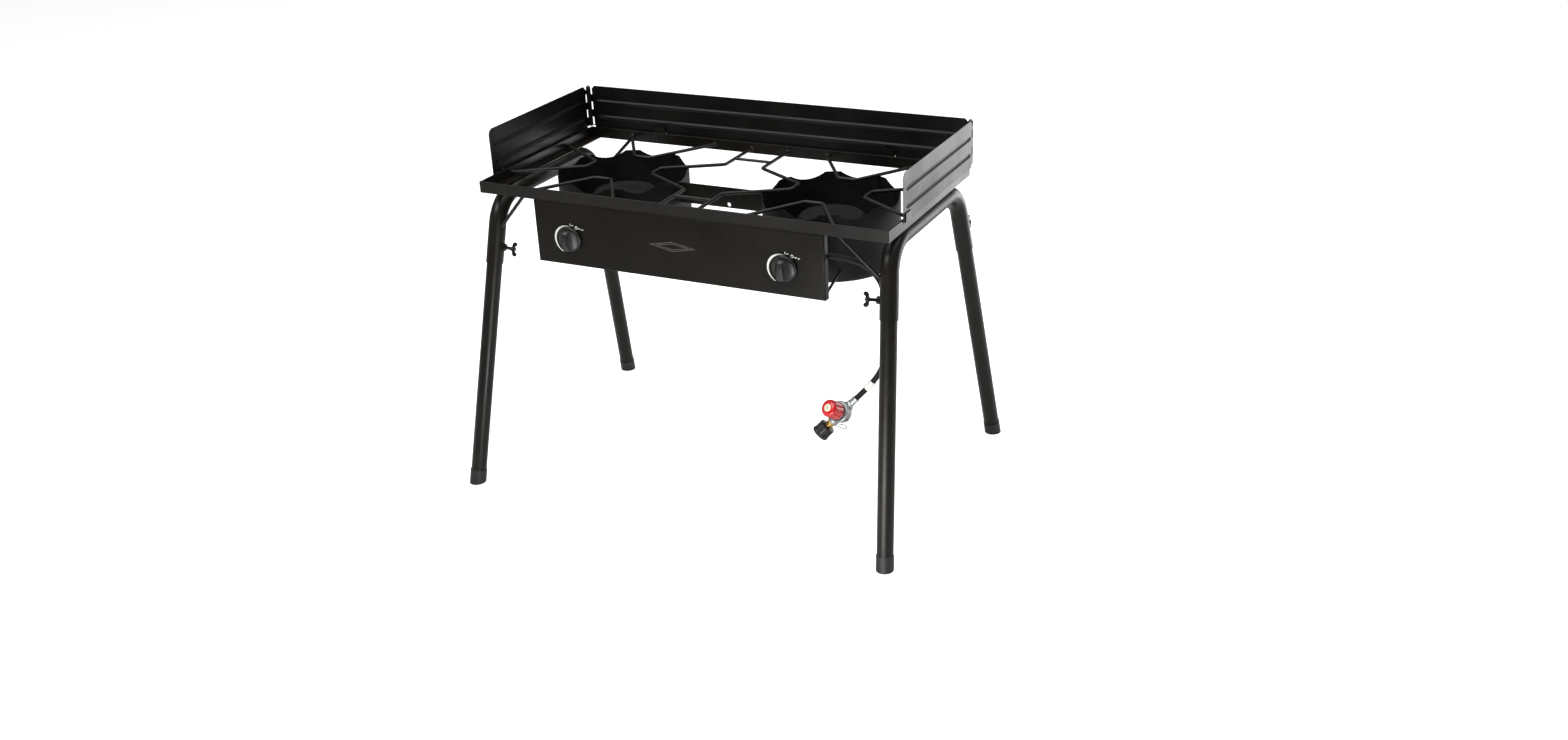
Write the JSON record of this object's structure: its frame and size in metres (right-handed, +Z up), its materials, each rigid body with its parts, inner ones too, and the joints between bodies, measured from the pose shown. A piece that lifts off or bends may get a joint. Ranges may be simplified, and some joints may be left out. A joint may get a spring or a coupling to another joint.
{
  "type": "camp stove",
  "caption": "Free-standing outdoor gas stove with burner bowls in a strap-steel frame, bent-wire pot supports, folding windscreen, push-in legs, control panel, hose and regulator.",
  "frame": {"origin": "on the ground, below the middle of the top frame", "axes": "+X towards the stove's right as seen from the control panel's side, +Y towards the back, +Z up"},
  "size_m": [0.8746, 0.591, 0.657],
  "materials": {
    "frame_coat": "black powder coat, semi-gloss",
    "wire_coat": "black powder coat, satin",
    "screen_coat": "black powder coat, satin",
    "panel_coat": "black powder coat, satin",
    "screw_black": "black zinc",
    "foot_plastic": "moulded, matt",
    "knob_plastic": "moulded, satin",
    "brass": "machined",
    "bright_steel": "zinc plated",
    "burner_iron": "sand cast, black heat paint",
    "bowl_coat": "matt black heat paint",
    "hose_rubber": "extruded, matt",
    "regulator_zinc": "die-cast zinc, bead blasted",
    "cap_red": "moulded, glossy",
    "nut_plastic": "moulded, ribbed"
  },
  "bodies": {
    "frame": {"front_rail": "frame_coat", "back_rail": "frame_coat", "left_rail": "frame_coat", "right_rail": "frame_coat", "left_burner_front_wire": "wire_coat", "left_burner_back_wire": "wire_coat", "left_burner_outer_wire": "wire_coat", "left_burner_inner_wire": "wire_coat", "right_burner_front_wire": "wire_coat", "right_burner_back_wire": "wire_coat", "right_burner_outer_wire": "wire_coat", "right_burner_inner_wire": "wire_coat", "cross_rods": "wire_coat", "left_leg_bow": "frame_coat", "right_leg_bow": "frame_coat", "leg_braces": "frame_coat", "leg_nuts": "frame_coat", "control_panel": "panel_coat", "panel_stays": "frame_coat", "left_valve": "brass", "right_valve": "brass", "valve_screws": "bright_steel", "manifold_pipe": "frame_coat", "manifold_plug": "brass", "inlet_fitting": "brass", "left_burner": "burner_iron", "right_burner": "burner_iron", "burner_bolts": "bright_steel", "left_bowl": "bowl_coat", "right_bowl": "bowl_coat", "bowl_link": "frame_coat", "windscreen_clips": "frame_coat", "gas_hose": "hose_rubber", "hose_fittings": "bright_steel", "regulator_body": "regulator_zinc", "connector_nipple": "brass"},
    "left_knob": {"left_knob": "knob_plastic", "left_valve_stem": "bright_steel"},
    "right_knob": {"right_knob": "knob_plastic", "right_valve_stem": "bright_steel"},
    "left_air_shutter": {"left_air_shutter": "bright_steel"},
    "right_air_shutter": {"right_air_shutter": "bright_steel"},
    "windscreen_back": {"windscreen_back": "screen_coat", "hinge_pins": "bright_steel"},
    "windscreen_left": {"windscreen_left": "screen_coat"},
    "windscreen_right": {"windscreen_right": "screen_coat"},
    "front_left_leg": {"front_left_leg": "frame_coat", "front_left_foot": "foot_plastic"},
    "front_right_leg": {"front_right_leg": "frame_coat", "front_right_foot": "foot_plastic"},
    "back_left_leg": {"back_left_leg": "frame_coat", "back_left_foot": "foot_plastic"},
    "back_right_leg": {"back_right_leg": "frame_coat", "back_right_foot": "foot_plastic"},
    "front_left_wing_screw": {"front_left_wing_screw": "screw_black"},
    "front_right_wing_screw": {"front_right_wing_screw": "screw_black"},
    "back_left_wing_screw": {"back_left_wing_screw": "screw_black"},
    "back_right_wing_screw": {"back_right_wing_screw": "screw_black"},
    "regulator_cap": {"regulator_cap": "cap_red"},
    "connector_nut": {"connector_nut": "nut_plastic"}
  },
  "joints": [
    {"name": "left_knob_turn", "type": "hinge", "parent": "frame", "child": "left_knob", "pos_m": [-0.212, -0.2, 0.489], "axis": [0, -1, 0], "range_deg": [-30, 150]},
    {"name": "right_knob_turn", "type": "hinge", "parent": "frame", "child": "right_knob", "pos_m": [0.212, -0.2, 0.489], "axis": [0, -1, 0], "range_deg": [-30, 150]},
    {"name": "left_shutter_turn", "type": "hinge", "parent": "frame", "child": "left_air_shutter", "pos_m": [-0.212, -0.15, 0.489], "axis": [0, 1, 0], "range_deg": [0, 60]},
    {"name": "right_shutter_turn", "type": "hinge", "parent": "frame", "child": "right_air_shutter", "pos_m": [0.212, -0.15, 0.489], "axis": [0, 1, 0], "range_deg": [0, 60]},
    {"name": "windscreen_lift", "type": "slide", "parent": "frame", "child": "windscreen_back", "axis": [0, 0, 1], "range_m": [0, 0.12]},
    {"name": "left_wing_fold", "type": "hinge", "parent": "windscreen_back", "child": "windscreen_left", "pos_m": [-0.4005, 0.1905, 0.615], "axis": [0, 0, 1], "range_deg": [0, 90]},
    {"name": "right_wing_fold", "type": "hinge", "parent": "windscreen_back", "child": "windscreen_right", "pos_m": [0.4005, 0.1905, 0.615], "axis": [0, 0, -1], "range_deg": [0, 90]},
    {"name": "front_left_leg_pull", "type": "slide", "parent": "frame", "child": "front_left_leg", "axis": [-0.0645, -0.2284, -0.9714], "range_m": [0, 0.05]},
    {"name": "front_right_leg_pull", "type": "slide", "parent": "frame", "child": "front_right_leg", "axis": [0.0645, -0.2284, -0.9714], "range_m": [0, 0.05]},
    {"name": "back_left_leg_pull", "type": "slide", "parent": "frame", "child": "back_left_leg", "axis": [-0.0645, 0.2284, -0.9714], "range_m": [0, 0.05]},
    {"name": "back_right_leg_pull", "type": "slide", "parent": "frame", "child": "back_right_leg", "axis": [0.0645, 0.2284, -0.9714], "range_m": [0, 0.05]},
    {"name": "front_left_screw_turn", "type": "hinge", "parent": "frame", "child": "front_left_wing_screw", "pos_m": [-0.39201, -0.17427, 0.44782], "axis": [0.9978, 0, -0.0663], "continuous": true},
    {"name": "front_right_screw_turn", "type": "hinge", "parent": "frame", "child": "front_right_wing_screw", "pos_m": [0.39201, -0.17427, 0.44782], "axis": [-0.9978, 0, -0.0663], "continuous": true},
    {"name": "back_left_screw_turn", "type": "hinge", "parent": "frame", "child": "back_left_wing_screw", "pos_m": [-0.39201, 0.17427, 0.44782], "axis": [0.0151, 0.9736, 0.2278], "continuous": true},
    {"name": "back_right_screw_turn", "type": "hinge", "parent": "frame", "child": "back_right_wing_screw", "pos_m": [0.39201, 0.17427, 0.44782], "axis": [-0.0151, 0.9736, 0.2278], "continuous": true},
    {"name": "regulator_cap_turn", "type": "hinge", "parent": "frame", "child": "regulator_cap", "pos_m": [0.28954, -0.14969, 0.21398], "axis": [-0.275, -0.793, 0.5436], "range_deg": [0, 720]},
    {"name": "connector_nut_turn", "type": "hinge", "parent": "frame", "child": "connector_nut", "pos_m": [0.28954, -0.14969, 0.21398], "axis": [-0.6394, -0.2714, -0.7193], "continuous": true}
  ]
}
